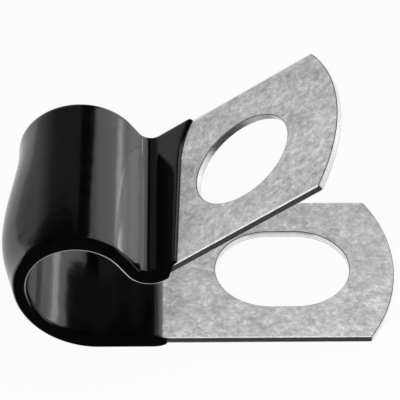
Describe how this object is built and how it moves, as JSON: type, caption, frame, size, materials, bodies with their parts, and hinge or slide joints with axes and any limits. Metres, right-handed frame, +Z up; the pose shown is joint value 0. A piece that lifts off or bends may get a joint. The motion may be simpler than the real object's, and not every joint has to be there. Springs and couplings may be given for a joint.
{
  "type": "vinyl-coated steel cable clamp",
  "caption": "P-shaped cable clamp: a bent steel strap with a black vinyl-coated loop, a round bolt hole in the raised tab and a slotted one in the flat tab.",
  "frame": {"origin": "middle of the slotted bolt hole, on the underside of the lower tab's steel", "axes": "+X along the lower tab away from the loop, +Y across the strap, away from the viewer, +Z up through the slot"},
  "size_m": [0.0375, 0.0198, 0.0217],
  "materials": {
    "zinc_coated_steel": "dull zinc spangle on rolled sheet",
    "black_vinyl": "smooth dip-coated plastisol, glossy"
  },
  "bodies": {
    "root": {"steel_strap": "zinc_coated_steel", "vinyl_coating": "black_vinyl"}
  },
  "joints": []
}
